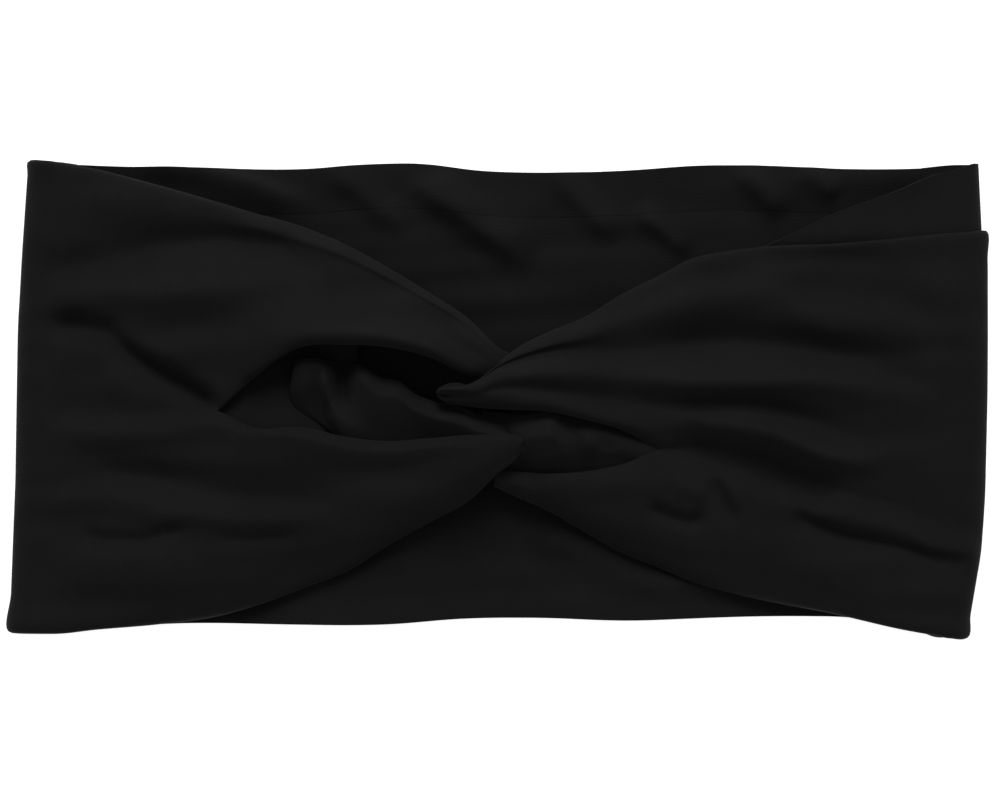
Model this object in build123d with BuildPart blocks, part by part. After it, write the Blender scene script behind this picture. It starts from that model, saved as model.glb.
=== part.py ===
"""Knotted jersey headband, lying flat: a back panel and two doubled front wings, each looped round the other.

X runs from side fold to side fold, Y from the bottom hem to the top hem, Z up from the table.
The origin is under the middle of the band, on the face that it rests on.
"""
from build123d import *
from math import ceil, cos, hypot, pi, sin
import os

# ---- driving dimensions, in millimetres ----
flat_width = 240.0         # side fold to side fold, laid flat
band_height = 118.0        # bottom hem to top hem at the corners
ply = 0.8                  # one ply of jersey
ply_gap = 0.15             # air between two plies that lie on each other
fold_height = 9.0          # outside height of the soft fold at each side
knot_height = 19.0         # top of the knot above the table
hem_width = 11.0           # turned-in strip along each edge of the back panel
seam_reach = 16.0          # from the side fold in to the closing seam
seam_allowance = 6.0       # cloth left inside a closing seam
seam_short_of_hems = 7.0   # what a closing seam lacks of the band's height
wing_start = 12.0          # from the side fold in to where the wing leaves the fold
inner_ply_end = 44.0       # from the middle out to where the inner plies stop, short of the knot
loop_width = 9.0          # the gathered strip where it turns back inside the knot
loop_thickness = 5.5
bend_reach_x = 22.0        # how far a bend runs past the middle of the knot
bend_reach_y = 11.0        # half the distance between its two ends
bend_lead = 9.0            # straight stretch at each end, under the other wing
bend_steps = 6             # points of the half turn
knot_clearance = 0.7       # between the knot's underside and the back panel
thread = 0.35              # overlock thread
stitch_pitch = 2.6
stitch_length = 5.0

half_width = flat_width / 2
half_height = band_height / 2
rise = knot_height - fold_height
outer_low = fold_height - ply              # underside of the outer ply where it lies flat
inner_top = outer_low - ply_gap            # upper face of the inner ply
wing_x = half_width - wing_start
seam_x = half_width - seam_reach

# Every outline point is a share (u, v) of the half width and half height.
# Every height is a share of the rise from the flat wing (0) to the top of the knot (1).


def x_at(u):
    """Distance along the band for a share of its half width."""
    return u * half_width


def y_at(v):
    """Distance across the band for a share of its half height."""
    return v * half_height


def z_at(share):
    """Height of the outer ply's upper face for a share of the knot's rise."""
    return fold_height + share * rise


def under_face(points, thickness):
    """The points of a cloth section's lower face, one thickness inside its upper face."""
    lower = []
    for i, (across, up) in enumerate(points):
        before = points[max(i - 1, 0)]
        after = points[min(i + 1, len(points) - 1)]
        run, climb = after[0] - before[0], after[1] - before[1]
        length = hypot(run, climb)
        lower.append((across - thickness * climb / length, up + thickness * run / length))
    return lower


def cloth_leg(stations, direction):
    """Loft a sheet of cloth through its sections.

    Each station is (u, [(v, height share), ...]), read from the top hem down, so the lower face
    is the one on the right-hand side of the walk.
    """
    with BuildPart() as leg:
        for u, section in stations:
            points = [(y_at(v), z_at(share)) for v, share in section]
            lower = under_face(points, ply)
            with BuildSketch(Plane(origin=(direction * x_at(u), 0, 0), x_dir=(0, 1, 0), z_dir=(1, 0, 0))):
                with BuildLine():
                    Spline(*points)
                    Line(points[-1], lower[-1])
                    Spline(*reversed(lower))
                    Line(lower[0], points[0])
                make_face()
        loft()
    return leg


def side_fold(edge, direction, outside, inside):
    """Loft the soft fold at one side: a half-round turn of cloth with a leg over and a leg under.

    edge is [(v, u of the outermost line), ...]; outside and inside are the fold's two heights
    above the table, from (low, high) of its outer face to (low, high) of its inner face.
    """
    low, high = outside
    inner_low, inner_high = inside
    middle = (low + high) / 2
    outer_radius = (high - low) / 2
    inner_radius = (inner_high - inner_low) / 2
    with BuildPart() as fold:
        for v, u in edge:
            turn = x_at(u) - fold_height / 2
            with BuildSketch(Plane(origin=(0, y_at(v), 0), x_dir=(direction, 0, 0), z_dir=(0, -direction, 0))):
                with BuildLine():
                    Line((wing_x, high), (turn, high))
                    ThreePointArc((turn, high), (turn + outer_radius, middle), (turn, low))
                    Line((turn, low), (seam_x, low))
                    Line((seam_x, low), (seam_x, inner_low))
                    Line((seam_x, inner_low), (turn, inner_low))
                    ThreePointArc((turn, inner_low), (turn + inner_radius, middle), (turn, inner_high))
                    Line((turn, inner_high), (wing_x, inner_high))
                    Line((wing_x, inner_high), (wing_x, high))
                make_face()
        loft()
    return fold


def flat_ply(outline, low):
    """A flat ply of jersey with a straight-edged outline of (u, v) points."""
    with BuildPart() as sheet:
        with BuildSketch(Plane.XY.offset(low)):
            with BuildLine():
                Polyline(*[(x_at(u), y_at(v)) for u, v in outline], close=True)
            make_face()
        extrude(amount=ply)
    return sheet


def loop_bend(centre, direction, heights):
    """The gathered strip where it turns back inside the knot.

    Seen from above it is half an ellipse with a straight lead at each end, and it sinks from the
    first height to the second.
    """
    start_x, middle_y = x_at(centre[0]), y_at(centre[1])
    high, low = heights
    route = [(start_x - direction * bend_lead, middle_y + direction * -bend_reach_y, high)]
    for step in range(bend_steps + 1):
        angle = pi * step / bend_steps
        sunk = (1 - cos(angle)) / 2
        route.append((start_x + direction * bend_reach_x * sin(angle),
                      middle_y - direction * bend_reach_y * cos(angle),
                      high + (low - high) * sunk))
    route.append((start_x - direction * bend_lead, middle_y + direction * bend_reach_y, low))
    with BuildPart() as bend:
        with BuildLine():
            path = Spline(*route)
        with BuildSketch(Plane(origin=path @ 0, x_dir=Vector(0, 0, 1).cross(path % 0), z_dir=path % 0)):
            Ellipse(loop_width / 2, loop_thickness / 2)
        sweep(path=path)
    return bend


# ---- back panel and its turned-in hems ----
back_top = [(-seam_x / half_width, 0.975), (-0.50, 0.955), (-0.16, 0.94), (0.13, 0.938), (0.50, 0.962),
            (seam_x / half_width, 0.968)]
back_bottom = [(seam_x / half_width, -0.955), (0.60, -0.898), (0.02, -0.905), (-0.30, -0.925),
               (-0.62, -0.925), (-seam_x / half_width, -0.945)]
seam_inner_x = seam_x - seam_allowance

with BuildPart() as back_panel:
    with BuildSketch():
        with BuildLine():
            top_edge = Spline(*[(x_at(u), y_at(v)) for u, v in back_top])
            bottom_edge = Spline(*[(x_at(u), y_at(v)) for u, v in back_bottom])
            Line(top_edge @ 1, bottom_edge @ 0)
            Line(bottom_edge @ 1, top_edge @ 0)
        make_face()
    extrude(amount=ply)
back_panel.part.label = "back_panel"


def back_hem(edge_points, turn_in):
    """A strip of the back panel's own cloth, turned in along one edge between the closing seams."""
    outer = [(x_at(u), y_at(v)) for u, v in edge_points]
    inner = [(x, y + turn_in * hem_width) for x, y in outer]
    with BuildPart() as hem:
        with BuildSketch(Plane.XY.offset(ply)):
            with BuildLine():
                outer_edge = Spline(*outer)
                inner_edge = Spline(*inner)
                Line(outer_edge @ 0, inner_edge @ 0)
                Line(outer_edge @ 1, inner_edge @ 1)
            make_face()
            Rectangle(2 * seam_inner_x, 2 * band_height, mode=Mode.INTERSECT)
        extrude(amount=ply)
    return hem


back_top_hem = back_hem(back_top, -1)
back_top_hem.part.label = "back_top_hem"
back_bottom_hem = back_hem(back_bottom, 1)
back_bottom_hem.part.label = "back_bottom_hem"

# ---- side folds: the outer ply goes round the inner one ----
left_edge = [(0.994, 0.961), (0.62, 0.974), (0.29, 0.983), (-0.34, 0.988), (-0.971, 1.0)]
right_edge = [(0.98, 0.980), (0.83, 0.990), (0.66, 1.0), (0.30, 1.0), (0.0, 0.998), (-0.42, 0.994),
              (-0.64, 0.986), (-0.995, 0.955)]
right_ply_top = 0.70       # the right outer ply's top edge, under the inner ply's top corner
outer_fold = (0, fold_height)
outer_fold_inside = (ply, outer_low)
inner_fold = (ply + ply_gap, inner_top)
inner_fold_inside = (2 * ply + ply_gap, inner_top - ply)
wing_u = wing_x / half_width

# ---- left wing: one sheet to the eye, then an upper roll and a lower flap ----
eye_corner = -0.045
left_split = 0.575
left_sheet = [
    (wing_u, [(0.994, 0), (0.50, 0), (0.10, 0), (-0.30, 0), (-0.60, 0), (-0.971, 0)]),
    (0.72, [(0.905, 0), (0.68, 0.20), (0.25, 0.08), (-0.25, 0.16), (-0.60, 0.10), (-0.94, 0)]),
    (left_split, [(0.832, 0), (0.50, 0), (0.10, 0), (-0.30, 0), (-0.60, 0), (-0.90, 0)]),
]
left_roll = [
    (left_split, [(0.832, 0), (0.60, 0), (0.40, 0), (0.15, 0), (eye_corner, 0)]),
    (0.46, [(0.76, 0.08), (0.52, 0.30), (0.32, 0.42), (0.18, 0.30), (0.145, 0.06)]),
    (0.31, [(0.64, 0.12), (0.48, 0.50), (0.34, 0.66), (0.245, 0.52), (0.21, 0.22)]),
    (0.15, [(0.465, 0.14), (0.37, 0.50), (0.28, 0.60), (0.20, 0.46), (0.165, 0.18)]),
    (0.03, [(0.27, 0.04), (0.225, 0.17), (0.175, 0.22), (0.13, 0.16), (0.09, 0.02)]),
    (-0.03, [(0.215, 0.02), (0.185, 0.09), (0.155, 0.12), (0.12, 0.10), (0.09, 0.02)]),
]
left_flap = [
    (left_split, [(eye_corner, 0), (-0.20, 0), (-0.40, 0), (-0.65, 0), (-0.90, 0)]),
    (0.46, [(-0.09, 0.06), (-0.13, 0.26), (-0.24, 0.34), (-0.50, 0.26), (-0.835, 0.02)]),
    (0.31, [(-0.15, 0.14), (-0.19, 0.36), (-0.28, 0.44), (-0.46, 0.36), (-0.72, 0.06)]),
    (0.15, [(-0.16, 0.26), (-0.20, 0.50), (-0.27, 0.56), (-0.37, 0.46), (-0.52, 0.12)]),
    (0.03, [(-0.14, 0.44), (-0.175, 0.62), (-0.215, 0.67), (-0.27, 0.60), (-0.35, 0.36)]),
    (-0.053, [(-0.135, 0.50), (-0.155, 0.60), (-0.178, 0.63), (-0.20, 0.60), (-0.225, 0.50)]),
]
with BuildPart() as left_outer_ply:
    add(side_fold(left_edge, -1, outer_fold, outer_fold_inside).part)
    add(cloth_leg(left_sheet, -1).part)
    add(cloth_leg(left_roll, -1).part)
    add(cloth_leg(left_flap, -1).part)
left_outer_ply.part.label = "left_outer_ply"

left_inner_outline = [(-wing_u, 0.994), (-0.72, 0.895), (-0.575, 0.82), (-inner_ply_end / half_width, 0.68),
                      (-inner_ply_end / half_width, -0.74), (-0.575, -0.89), (-wing_u, -0.971)]
with BuildPart() as left_inner_ply:
    add(side_fold(left_edge, -1, inner_fold, inner_fold_inside).part)
    add(flat_ply(left_inner_outline, inner_top - ply).part)
left_inner_ply.part.label = "left_inner_ply"

# ---- right wing: the roll that crosses over the left one, and the lower leg under the left flap ----
right_split = 0.35
right_sheet = [
    (wing_u, [(right_ply_top, 0), (0.40, 0), (0.0, 0), (-0.40, 0), (-0.70, 0), (-0.995, 0)]),
    (0.68, [(0.648, 0.06), (0.40, 0.12), (0.14, 0.34), (-0.20, 0.12), (-0.50, 0.24), (-0.89, 0.03)]),
    (0.54, [(0.64, 0.05), (0.40, 0.12), (0.16, 0.34), (-0.14, 0.10), (-0.40, 0.20), (-0.82, 0.03)]),
    (right_split, [(0.54, 0), (0.35, 0), (0.05, 0), (-0.25, 0), (-0.45, 0), (-0.72, 0)]),
]
right_roll = [
    (right_split, [(0.54, 0), (0.35, 0), (0.17, 0), (0.03, 0), (-0.10, 0), (-0.21, 0)]),
    (0.21, [(0.385, 0.20), (0.27, 0.30), (0.165, 0.62), (0.05, 0.42), (-0.05, 0.54), (-0.10, 0.30)]),
    (0.07, [(0.235, 0.50), (0.19, 0.72), (0.13, 0.95), (0.05, 0.76), (-0.02, 0.82), (-0.08, 0.56)]),
    (-0.05, [(0.088, 0.68), (0.065, 0.86), (0.03, 0.96), (-0.01, 0.86), (-0.05, 0.80), (-0.08, 0.62)]),
    (-0.12, [(0.045, 0.62), (0.035, 0.72), (0.02, 0.78), (0.005, 0.76), (-0.01, 0.70), (-0.02, 0.60)]),
]
right_lower_leg = [
    (right_split, [(-0.21, 0), (-0.30, 0), (-0.42, 0), (-0.56, 0), (-0.72, 0)]),
    (0.21, [(-0.30, 0.04), (-0.34, 0.22), (-0.40, 0.28), (-0.48, 0.24), (-0.60, 0.04)]),
    (0.10, [(-0.305, 0.06), (-0.34, 0.20), (-0.38, 0.24), (-0.42, 0.20), (-0.48, 0.06)]),
    (0.04, [(-0.30, 0.02), (-0.32, 0.11), (-0.345, 0.14), (-0.37, 0.12), (-0.41, 0.02)]),
]
with BuildPart() as right_outer_ply:
    add(side_fold(right_edge, 1, outer_fold, outer_fold_inside).part)
    split(bisect_by=Plane.XZ.offset(-y_at(right_ply_top)), keep=Keep.TOP)
    add(cloth_leg(right_sheet, 1).part)
    add(cloth_leg(right_roll, 1).part)
    add(cloth_leg(right_lower_leg, 1).part)
right_outer_ply.part.label = "right_outer_ply"

right_inner_outline = [(wing_u, 0.93), (0.814, 0.872), (0.68, 0.78), (0.54, 0.62),
                       (inner_ply_end / half_width, 0.52), (inner_ply_end / half_width, -0.70),
                       (0.54, -0.80), (0.68, -0.87), (wing_u, -0.98)]
with BuildPart() as right_inner_ply:
    add(side_fold(right_edge, 1, inner_fold, inner_fold_inside).part)
    add(flat_ply(right_inner_outline, inner_top - ply).part)
right_inner_ply.part.label = "right_inner_ply"

# ---- the two bends, interlocked inside the knot ----
bend_low = ply + knot_clearance + loop_thickness / 2
left_loop_bend = loop_bend((0.055, -0.03), 1, (z_at(0.06), bend_low))
left_loop_bend.part.label = "left_loop_bend"
right_loop_bend = loop_bend((-0.10, -0.16), -1, (z_at(0.10), bend_low))
right_loop_bend.part.label = "right_loop_bend"


# ---- closing seams, upturned inside the band, and their overlock threads ----
seam_middle_x = seam_x - seam_allowance / 2
seam_length = band_height - seam_short_of_hems


def closing_seam(direction):
    """The two edges of cloth left inside a closing seam, pressed flat on the back panel."""
    with BuildPart() as seam:
        with BuildSketch(Plane.XY.offset(ply)):
            with Locations((direction * seam_middle_x, 0)):
                Rectangle(seam_allowance, seam_length)
        extrude(amount=2 * ply)
    return seam


def seam_thread(direction):
    """The overlock stitches across the allowance, one bar of thread a pitch."""
    count = ceil(seam_length / stitch_pitch) - 1
    with BuildPart() as stitches:
        with BuildSketch(Plane.XY.offset(3 * ply)):
            with Locations((direction * seam_middle_x, 0)):
                with GridLocations(1, stitch_pitch, 1, count):
                    Rectangle(stitch_length, thread)
        extrude(amount=thread)
    return stitches


left_closing_seam = closing_seam(-1)
left_closing_seam.part.label = "left_closing_seam"
right_closing_seam = closing_seam(1)
right_closing_seam.part.label = "right_closing_seam"
left_seam_thread = seam_thread(-1)
left_seam_thread.part.label = "left_seam_thread"
right_seam_thread = seam_thread(1)
right_seam_thread.part.label = "right_seam_thread"

# ---- export, one file a piece ----
os.makedirs("parts", exist_ok=True)
for piece in (back_panel, back_top_hem, back_bottom_hem,
              left_outer_ply, left_inner_ply, right_outer_ply, right_inner_ply,
              left_loop_bend, right_loop_bend,
              left_closing_seam, right_closing_seam, left_seam_thread, right_seam_thread):
    export_step(piece.part, f"parts/{piece.part.label}.step")
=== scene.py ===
"""Knotted headband in black single jersey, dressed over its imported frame."""
import math
import bpy
import numpy as np
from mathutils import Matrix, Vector


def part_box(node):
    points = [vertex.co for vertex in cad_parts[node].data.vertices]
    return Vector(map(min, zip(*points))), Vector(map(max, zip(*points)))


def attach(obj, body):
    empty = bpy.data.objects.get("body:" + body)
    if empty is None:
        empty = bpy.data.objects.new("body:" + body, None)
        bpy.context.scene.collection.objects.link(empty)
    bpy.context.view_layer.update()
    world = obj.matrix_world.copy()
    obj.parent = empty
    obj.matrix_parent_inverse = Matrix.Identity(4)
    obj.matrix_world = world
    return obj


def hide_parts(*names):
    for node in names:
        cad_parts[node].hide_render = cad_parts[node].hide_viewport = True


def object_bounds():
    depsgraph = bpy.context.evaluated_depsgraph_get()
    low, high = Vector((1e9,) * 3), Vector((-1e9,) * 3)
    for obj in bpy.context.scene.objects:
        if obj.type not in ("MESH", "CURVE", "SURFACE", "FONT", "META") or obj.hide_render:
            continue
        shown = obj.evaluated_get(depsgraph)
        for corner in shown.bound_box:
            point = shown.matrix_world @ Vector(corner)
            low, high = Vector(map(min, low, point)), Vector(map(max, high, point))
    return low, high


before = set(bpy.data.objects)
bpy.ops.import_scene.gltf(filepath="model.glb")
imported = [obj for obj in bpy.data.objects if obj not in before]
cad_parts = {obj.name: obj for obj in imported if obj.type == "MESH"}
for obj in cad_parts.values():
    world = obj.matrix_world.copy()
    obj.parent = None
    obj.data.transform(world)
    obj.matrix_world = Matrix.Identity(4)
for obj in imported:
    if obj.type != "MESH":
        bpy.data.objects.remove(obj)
cad_low, cad_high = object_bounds()

MM = 0.001
BODY = "root"
rng = np.random.default_rng(11)    # draws the cloth's small ripples, the same ones each time

# Sizes of the cloth and of the band, in metres. Outline points are shares of the half width and
# half height, and heights are shares of the rise from the flat wing to the top of the knot.
PLY = 0.8 * MM                     # one ply of jersey
PLY_GAP = 0.15 * MM                # air between plies that lie on each other
EDGE_ROUND = 0.12 * MM             # how far in from a cut edge its shading turns over
HEM_WIDTH = 11 * MM                # the back panel's turned-in hems
HEM_LIFT = 0.06 * MM               # how far a hem's underside stays above the table
WING_HEM = 2.6 * MM                # the narrow hem along each wing's edge
LIP_HEM = 1.2 * MM                 # the still narrower one along the right roll
SEAM_REACH = 16 * MM               # from the side fold in to the closing seam
SHOULDER = 2.2 * MM                # how much further the side fold's upper curve reaches than a round one
HALF_WIDTH = (cad_high.x - cad_low.x) / 2
HALF_HEIGHT = (cad_high.y - cad_low.y) / 2
LINING_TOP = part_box("left_inner_ply")[1].z
WING_TOP = LINING_TOP + PLY_GAP + PLY
RISE = cad_high.z - WING_TOP
SEAM_X = HALF_WIDTH - SEAM_REACH
CELL = 0.9 * MM
FOLD_FLOOR = WING_TOP - 3 * MM     # cloth lower than this, round the side folds, has no folds
FOLD_FADE = 2 * MM                 # the height over which folds come in above that


# ---- smooth sheets through listed points ----
def smooth(values, at, wanted):
    """Cubic curve through rows of values placed at the parameters `at`, read at the wanted ones."""
    slopes = np.gradient(values, at, axis=0)
    left = np.clip(np.searchsorted(at, wanted, side="right") - 1, 0, len(at) - 2)
    span = at[left + 1] - at[left]
    t = (wanted - at[left]) / span
    shape = (-1,) + (1,) * (values.ndim - 1)
    t, span = t.reshape(shape), span.reshape(shape)
    return ((2 * t ** 3 - 3 * t ** 2 + 1) * values[left] + (t ** 3 - 2 * t ** 2 + t) * span * slopes[left]
            + (3 * t ** 2 - 2 * t ** 3) * values[left + 1] + (t ** 3 - t ** 2) * span * slopes[left + 1])


def spacing(net, axis):
    """Running length along one axis of a net of points, averaged over the other axis."""
    steps = np.linalg.norm(np.diff(net, axis=axis), axis=2).mean(axis=1 - axis)
    return np.concatenate([[0], np.cumsum(np.maximum(steps, 0.02 * MM))])


def filled(net, cell):
    """A fine grid of points, about a cell apart, through a coarse net of listed ones."""
    for axis in (0, 1):
        at = spacing(net, axis)
        count = max(int(at[-1] / cell), 4)
        inner = np.linspace(EDGE_ROUND, at[-1] - EDGE_ROUND, count + 1)
        wanted = np.concatenate([[0], inner, at[-1:]])
        net = np.moveaxis(smooth(np.moveaxis(net, axis, 0), at, wanted), 0, axis)
    return net


# ---- folds and ripples ----
FOLD_GAIN = 1.25                   # how deep the folds below are laid, against their listed heights
RIPPLE_HEIGHT = 0.055 * MM
SWELL_DOWN = 0.06                  # radians per millimetre of the ripples' swell down the band

# each ripple: radians per millimetre across and down the band, its start, and its swell's drift and start
RIPPLES = [(rng.uniform(-0.09, 0.09), rng.uniform(0.35, 1.0), rng.uniform(0, 2 * math.pi),
            rng.uniform(-0.05, 0.05), rng.uniform(0, 2 * math.pi)) for _ in range(14)]


def ripple_heights(x, y):
    """Small uneven ripples, long across the band and a few millimetres apart down it."""
    total = np.zeros_like(x)
    for across, down, start, drift, phase in RIPPLES:
        swell = 0.5 + 0.5 * np.sin((drift * x + SWELL_DOWN * y) / MM + phase)
        total += RIPPLE_HEIGHT / down * swell * np.sin((across * x + down * y) / MM + start)
    return total


def fold_heights(x, y, folds):
    """Height that the folds add at each place.

    A fold is (line, height, width above it, width below it, taper): a crest or, with a height under
    zero, a valley along a line of (x, y) in millimetres that runs from left to right. Its taper is the
    share of its length over which it fades in and out.
    """
    total = ripple_heights(x, y)
    for line, height, above, below, taper in folds:
        points = np.array(line) * MM
        lengths = np.linalg.norm(np.diff(points, axis=0), axis=1)
        ends = np.concatenate([[0], np.cumsum(lengths)])
        best = np.full(x.shape, np.inf)
        side = np.zeros_like(x)
        along = np.zeros_like(x)
        for start, stop, length, travelled in zip(points[:-1], points[1:], lengths, ends):
            direction = (stop - start) / length
            dx, dy = x - start[0], y - start[1]
            run = np.clip(dx * direction[0] + dy * direction[1], 0, length)
            off_x, off_y = dx - run * direction[0], dy - run * direction[1]
            distance = np.hypot(off_x, off_y)
            nearer = distance < best
            best = np.where(nearer, distance, best)
            side = np.where(nearer, direction[0] * off_y - direction[1] * off_x, side)
            along = np.where(nearer, (travelled + run) / ends[-1], along)
        width = np.where(side > 0, above, below) * MM
        fade = np.clip(np.minimum(along, 1 - along) / max(taper, 1e-3), 0, 1)
        fade = fade * fade * (3 - 2 * fade)
        total += FOLD_GAIN * height * MM * fade * np.exp(-(best / width) ** 2)
    return total


def add_object(name, data):
    """A new object of the scene with the given mesh, curve, light or camera."""
    item = bpy.data.objects.new(name, data)
    bpy.context.collection.objects.link(item)
    return item


def grid_mesh(name, grids, folds=(), fold_floor=None):
    """One sheet of cloth from grids of points that share their edge where it is welded.

    Each grid is (points, offset of its knit across the cloth). Folds move points up and down where
    they lie higher than fold_floor.
    """
    verts, faces, flat = [], [], []
    for points, across_start in grids:
        points = points.copy()
        if folds:
            lift = fold_heights(points[..., 0], points[..., 1], folds)
            if fold_floor is not None:
                lift *= np.clip((points[..., 2] - fold_floor) / FOLD_FADE, 0, 1)
            points[..., 2] += lift
        rows, columns = points.shape[:2]
        base = len(verts)
        verts.extend(points.reshape(-1, 3).tolist())
        along = np.concatenate([np.zeros((1, columns)),
                                np.cumsum(np.linalg.norm(np.diff(points, axis=0), axis=2), axis=0)])
        across = np.concatenate([np.zeros((rows, 1)),
                                 np.cumsum(np.linalg.norm(np.diff(points, axis=1), axis=2), axis=1)], axis=1)
        along[:] = along.mean(axis=1, keepdims=True)
        flat.extend(np.stack([along, across_start + across], axis=2).reshape(-1, 2).tolist())
        for i in range(rows - 1):
            for j in range(columns - 1):
                a = base + i * columns + j
                faces.append((a, a + 1, a + columns + 1, a + columns))
    mesh = bpy.data.meshes.new(name)
    mesh.from_pydata(verts, [], faces)
    layer = mesh.uv_layers.new(name="cloth")
    corners = np.array([flat[loop.vertex_index] for loop in mesh.loops], np.float32)
    layer.data.foreach_set("uv", corners.ravel())
    mesh.polygons.foreach_set("use_smooth", [True] * len(mesh.polygons))
    return add_object(name, mesh)


def apply_modifiers(piece):
    """Keep the piece's mesh as its modifiers leave it."""
    evaluated = piece.evaluated_get(bpy.context.evaluated_depsgraph_get())
    mesh = bpy.data.meshes.new_from_object(evaluated)
    piece.modifiers.clear()
    piece.data = mesh


def thicken(piece, thickness, offset, lowest=0):
    """Give a sheet its ply thickness, below it with an offset of -1 or above it with 1.

    No point of it is left under the height called lowest: the table, or just over it.
    """
    solid = piece.modifiers.new("ply", "SOLIDIFY")
    solid.thickness = thickness
    solid.offset = offset
    solid.use_even_offset = False
    solid.use_rim = True
    apply_modifiers(piece)
    for vertex in piece.data.vertices:
        vertex.co.z = max(vertex.co.z, lowest)


def weld(piece, distance):
    """Join points of the sheet's grids that lie on each other."""
    join = piece.modifiers.new("weld", "WELD")
    join.merge_threshold = distance
    apply_modifiers(piece)


def place(u, v, share):
    """A point of the front from its shares of the half width, half height and rise."""
    return [u * HALF_WIDTH, v * HALF_HEIGHT, WING_TOP + share * RISE]


def stations(rows, direction):
    """A net of points from [(u, [(v, height share), ...]), ...]."""
    return np.array([[place(direction * u, v, share) for v, share in section] for u, section in rows])


def stretched(y, first, last):
    """Move a row's points so that it ends at first and last, leaving the middle of the band alone."""
    factor = np.where(y > 0, first / max(y[0], 1e-9) if first is not None else 1,
                      last / min(y[-1], -1e-9) if last is not None else 1)
    share = np.clip(np.abs(y) / np.where(y > 0, max(y[0], 1e-9), max(-y[-1], 1e-9)), 0, 1)
    return y * (1 + (factor - 1) * share)


TURN_DEGREES = (-90, -60, -30, 0, 20, 40, 55, 70, 90)
TURN_EASE = 0.65                   # how much of the way to the wing's first row the last turn row comes
EASE_POWER = 8                     # how late in the turn it does
FOLD_RUNOUT = 1.5 * MM             # under the band, the turn ends this far in from the fold's centre


def side_turn(first_row, edge, direction, high, ends, seam_ends):
    """The rows that carry a wing back round its side fold to the closing seam.

    first_row is the wing's first row on top; edge is [(v, u of the outermost line), ...] and high
    is the height of the sheet's upper face. ends and seam_ends are the shares of the half height
    that the cloth reaches at the fold and at the seam (None for a row that stops at the slit).
    """
    reach_v = [v for v, _ in edge][::-1]
    reach_u = [u for _, u in edge][::-1]
    lowest = WING_TOP - high
    radius = (high - lowest) / 2
    at_fold = stretched(first_row[:, 1], *[v and v * HALF_HEIGHT for v in ends])
    at_seam = stretched(first_row[:, 1], *[v and v * HALF_HEIGHT for v in seam_ends])
    outermost = np.interp(at_fold / HALF_HEIGHT, reach_v, reach_u) * HALF_WIDTH
    centre = outermost - WING_TOP / 2
    # near a corner the shoulder stops halfway to the wing's first row
    spare = np.minimum(SHOULDER, 0.5 * (centre - np.abs(first_row[:, 0])))
    flat = np.ones_like(at_seam)
    near = (centre - FOLD_RUNOUT) * direction
    rows = [np.stack([flat * direction * SEAM_X, at_seam, flat * lowest], axis=1),
            np.stack([near, at_fold, flat * lowest], axis=1)]
    for degrees in TURN_DEGREES:
        angle = math.radians(degrees)
        shoulder = spare * (1 - math.cos(angle)) if degrees > 0 else 0
        x = direction * (centre + radius * math.cos(angle) - shoulder)
        z = (high + lowest) / 2 + radius * math.sin(angle)
        ease = TURN_EASE * max(math.sin(angle), 0) ** EASE_POWER
        rows.append(np.stack([x, at_fold + (first_row[:, 1] - at_fold) * ease, flat * z], axis=1))
    return np.array(rows)


HEM_RIM = (0.5, -0.2)              # the hem's rim: shares of its drop that it goes down and inward
HEM_NEAR = (0.95, 0.4)             # its bend behind that: shares of its drop and its width
HEM_REACH = 0.3                    # no hem is wider than this share of the cloth's run across
HEM_DEPTH = 0.35                   # nor deeper than this one


def turned_hem(net, first, width, drop, turn_rows):
    """Add columns of points that turn the cloth's edge under itself, at the first or last column.

    The first turn_rows rows go round the side fold, where "under" means into the fold.
    """
    edge, inner = (net[:, 0], net[:, 1]) if first else (net[:, -1], net[:, -2])
    inward = inner - edge
    inward[:, 2] = 0
    inward /= np.linalg.norm(inward, axis=1, keepdims=True)
    # under a wing's upper face the hem turns down, and on the table side of its fold it turns up
    turning = np.clip((edge[:, 2] - WING_TOP / 2) / (WING_TOP / 2), -1, 1)
    turning[turn_rows:] = 1
    outward = np.sign(net[..., 0].mean())
    normal = np.stack([-outward * np.sqrt(np.clip(1 - turning ** 2, 0, 1)), 0 * turning, -turning], axis=1)
    run = np.linalg.norm(net[:, 0] - net[:, -1], axis=1)[:, None]
    width = np.minimum(width, HEM_REACH * run)
    drop = np.minimum(drop, HEM_DEPTH * run)
    rim = edge + normal * drop * HEM_RIM[0] + inward * drop * HEM_RIM[1]
    near = edge + normal * drop * HEM_NEAR[0] + inward * width * HEM_NEAR[1]
    tuck = edge + normal * drop + inward * width
    added = np.stack([tuck, near, rim], axis=1)
    if first:
        return np.concatenate([added, net], axis=1)
    return np.concatenate([net, added[:, ::-1]], axis=1)


# ---- materials ----
def linear(hex_colour):
    """An sRGB hex colour as a linear RGBA tuple."""
    channels = [int(hex_colour[i:i + 2], 16) / 255 for i in (1, 3, 5)]
    return tuple(c / 12.92 if c <= 0.04045 else ((c + 0.055) / 1.055) ** 2.4 for c in channels) + (1.0,)


def add_node(tree, kind, settings=(), links=()):
    """Add a node, set its properties or unlinked sockets, and link sockets into it."""
    node = tree.nodes.new(kind)
    for name, value in dict(settings).items():
        if isinstance(name, str) and hasattr(node, name):
            setattr(node, name, value)
        else:
            node.inputs[name].default_value = value
    for name, source in dict(links).items():
        tree.links.new(source, node.inputs[name])
    return node


def new_material(name):
    """A material with an empty node tree, and that tree."""
    material = bpy.data.materials.new(name)
    material.use_nodes = True
    material.node_tree.nodes.clear()
    return material, material.node_tree


STITCH_SLANT = 1.3                 # how steeply the V-shaped stitches' legs climb, in rows per column
STITCH_SHARE = 0.5                 # shares of the stitches, the rib and the fuzz in the cloth's relief
RIB_SHARE = 2.6
FUZZ_SHARE = 0.3


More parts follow.
